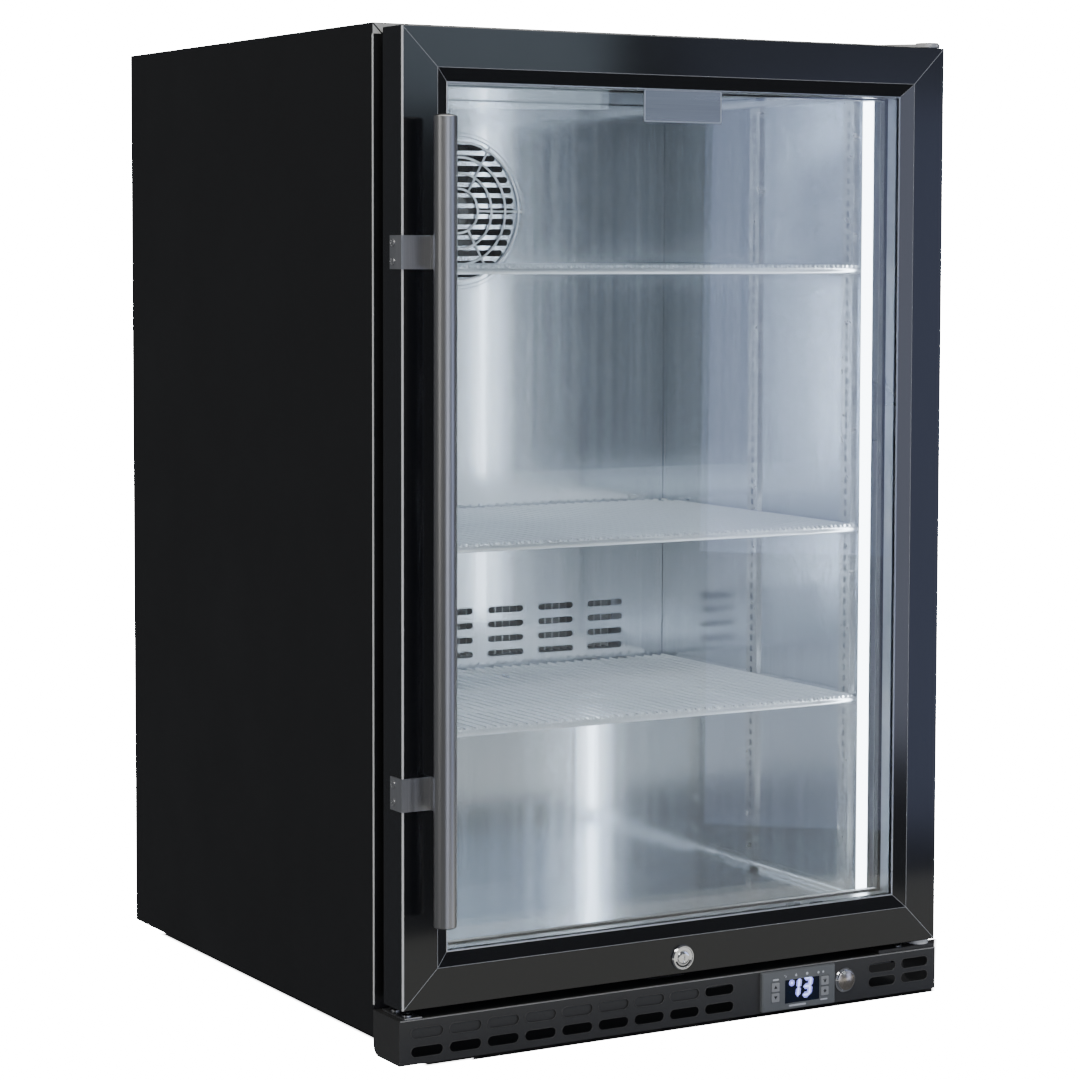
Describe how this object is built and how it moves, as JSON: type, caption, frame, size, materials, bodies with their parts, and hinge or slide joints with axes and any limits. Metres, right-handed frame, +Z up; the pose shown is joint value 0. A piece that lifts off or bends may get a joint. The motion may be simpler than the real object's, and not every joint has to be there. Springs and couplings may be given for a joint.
{
  "type": "undercounter refrigerator",
  "caption": "Undercounter bar refrigerator with a framed glass door on the right, bar handle, lock, wire shelves, side lights and a louvred plinth with a controller.",
  "frame": {"origin": "middle of the footprint, handle included, on the floor", "axes": "+Z up, the door faces -Y, +X is to the right of someone facing the door"},
  "size_m": [0.54, 0.5888, 0.845],
  "materials": {
    "cabinet_black": "satin",
    "door_frame_black": "gloss",
    "plinth_black": "satin",
    "galvanised": "satin",
    "black_sheet": "matt",
    "foam": "matt",
    "liner_steel": "polished",
    "breaker_grey": "satin",
    "clear_glass": "gloss",
    "spacer_silver": "satin",
    "black_rubber": "matt",
    "handle_steel": "brushed",
    "hardware_steel": "satin",
    "chrome": "polished",
    "badge_metal": "brushed",
    "shelf_chrome": "polished",
    "lamp_white": "matt",
    "controller_grey": "satin",
    "display_dark": "gloss",
    "key_grey": "matt",
    "fan_black": "matt",
    "coil_aluminium": "satin",
    "compressor_black": "satin",
    "copper": "satin",
    "white_plastic": "satin"
  },
  "bodies": {
    "cabinet": {"outer_shell": "cabinet_black", "inner_liner": "liner_steel", "front_breaker": "breaker_grey", "insulation_foam": "foam", "machine_panel": "galvanised", "base_pan": "galvanised", "rear_panel": "black_sheet", "rear_grille": "black_sheet", "cable_gland": "fan_black", "plinth_grille": "plinth_black", "plinth_baffle": "plinth_black", "hinge_blank_plate": "hardware_steel", "controller_case": "controller_grey", "display_window": "display_dark", "light_switch_body": "chrome", "top_hinge": "hardware_steel", "bottom_hinge": "hardware_steel", "cabinet_screws": "hardware_steel", "shelf_standards": "hardware_steel", "shelf_clips": "hardware_steel", "light_channels": "spacer_silver", "light_diffusers": "lamp_white", "evaporator_cover": "liner_steel", "evaporator_coil": "coil_aluminium", "evaporator_fan_frame": "fan_black", "compressor": "compressor_black", "condensate_drain": "white_plastic", "condenser_coil": "fan_black", "condenser_fan_frame": "fan_black", "refrigerant_lines": "copper"},
    "door": {"door_stile_left": "door_frame_black", "door_stile_right": "door_frame_black", "door_rail_top": "door_frame_black", "door_rail_bottom": "door_frame_black", "glass_outer": "clear_glass", "glass_inner": "clear_glass", "glass_spacer": "spacer_silver", "glazing_bead": "black_rubber", "door_gasket": "black_rubber", "handle_tube": "handle_steel", "handle_brackets": "hardware_steel", "door_screws": "hardware_steel", "lock_barrel": "chrome", "badge_plate": "badge_metal", "hinge_bushes": "white_plastic"},
    "lock": {"lock_plug": "chrome"},
    "upper_shelf": {"shelf_upper": "shelf_chrome"},
    "middle_shelf": {"shelf_middle": "shelf_chrome"},
    "lower_shelf": {"shelf_lower": "shelf_chrome"},
    "evaporator_rotor": {"evaporator_fan_rotor": "fan_black"},
    "condenser_rotor": {"condenser_fan_rotor": "fan_black"},
    "up_key": {"key_up": "key_grey"},
    "down_key": {"key_down": "key_grey"},
    "light_key": {"key_light": "key_grey"},
    "defrost_key": {"key_defrost": "key_grey"},
    "light_button": {"light_switch_cap": "chrome"},
    "front_left_foot": {"foot_front_left": "black_rubber"},
    "front_right_foot": {"foot_front_right": "black_rubber"},
    "rear_left_foot": {"foot_rear_left": "black_rubber"},
    "rear_right_foot": {"foot_rear_right": "black_rubber"}
  },
  "joints": [
    {"name": "door_hinge", "type": "hinge", "parent": "cabinet", "child": "door", "pos_m": [0.258, -0.2436, 0.445], "axis": [0, 0, 1], "range_deg": [0, 110]},
    {"name": "lock_turn", "type": "hinge", "parent": "door", "child": "lock", "pos_m": [0, -0.2559, 0.064], "axis": [0, 1, 0], "range_deg": [0, 90]},
    {"name": "evaporator_fan_spin", "type": "hinge", "parent": "cabinet", "child": "evaporator_rotor", "pos_m": [0, 0.1666, 0.7], "axis": [0, -1, 0], "continuous": true},
    {"name": "condenser_fan_spin", "type": "hinge", "parent": "cabinet", "child": "condenser_rotor", "pos_m": [0.162, 0.1514, 0.1042], "axis": [1, 0, 0], "continuous": true},
    {"name": "upper_shelf_lift", "type": "slide", "parent": "cabinet", "child": "upper_shelf", "axis": [0, 0, 1], "range_m": [0, 0.008]},
    {"name": "middle_shelf_lift", "type": "slide", "parent": "cabinet", "child": "middle_shelf", "axis": [0, 0, 1], "range_m": [0, 0.008]},
    {"name": "lower_shelf_lift", "type": "slide", "parent": "cabinet", "child": "lower_shelf", "axis": [0, 0, 1], "range_m": [0, 0.008]},
    {"name": "up_key_press", "type": "slide", "parent": "cabinet", "child": "up_key", "axis": [0, 1, 0], "range_m": [0, 0.0008], "stiffness_N_per_m": 400},
    {"name": "down_key_press", "type": "slide", "parent": "cabinet", "child": "down_key", "axis": [0, 1, 0], "range_m": [0, 0.0008], "stiffness_N_per_m": 400},
    {"name": "light_key_press", "type": "slide", "parent": "cabinet", "child": "light_key", "axis": [0, 1, 0], "range_m": [0, 0.0008], "stiffness_N_per_m": 400},
    {"name": "defrost_key_press", "type": "slide", "parent": "cabinet", "child": "defrost_key", "axis": [0, 1, 0], "range_m": [0, 0.0008], "stiffness_N_per_m": 400},
    {"name": "light_button_press", "type": "slide", "parent": "cabinet", "child": "light_button", "axis": [0, 1, 0], "range_m": [0, 0.0015], "stiffness_N_per_m": 600},
    {"name": "front_left_foot_height", "type": "slide", "parent": "cabinet", "child": "front_left_foot", "axis": [0, 0, -1], "range_m": [0, 0.008]},
    {"name": "front_right_foot_height", "type": "slide", "parent": "cabinet", "child": "front_right_foot", "axis": [0, 0, -1], "range_m": [0, 0.008]},
    {"name": "rear_left_foot_height", "type": "slide", "parent": "cabinet", "child": "rear_left_foot", "axis": [0, 0, -1], "range_m": [0, 0.008]},
    {"name": "rear_right_foot_height", "type": "slide", "parent": "cabinet", "child": "rear_right_foot", "axis": [0, 0, -1], "range_m": [0, 0.008]}
  ]
}
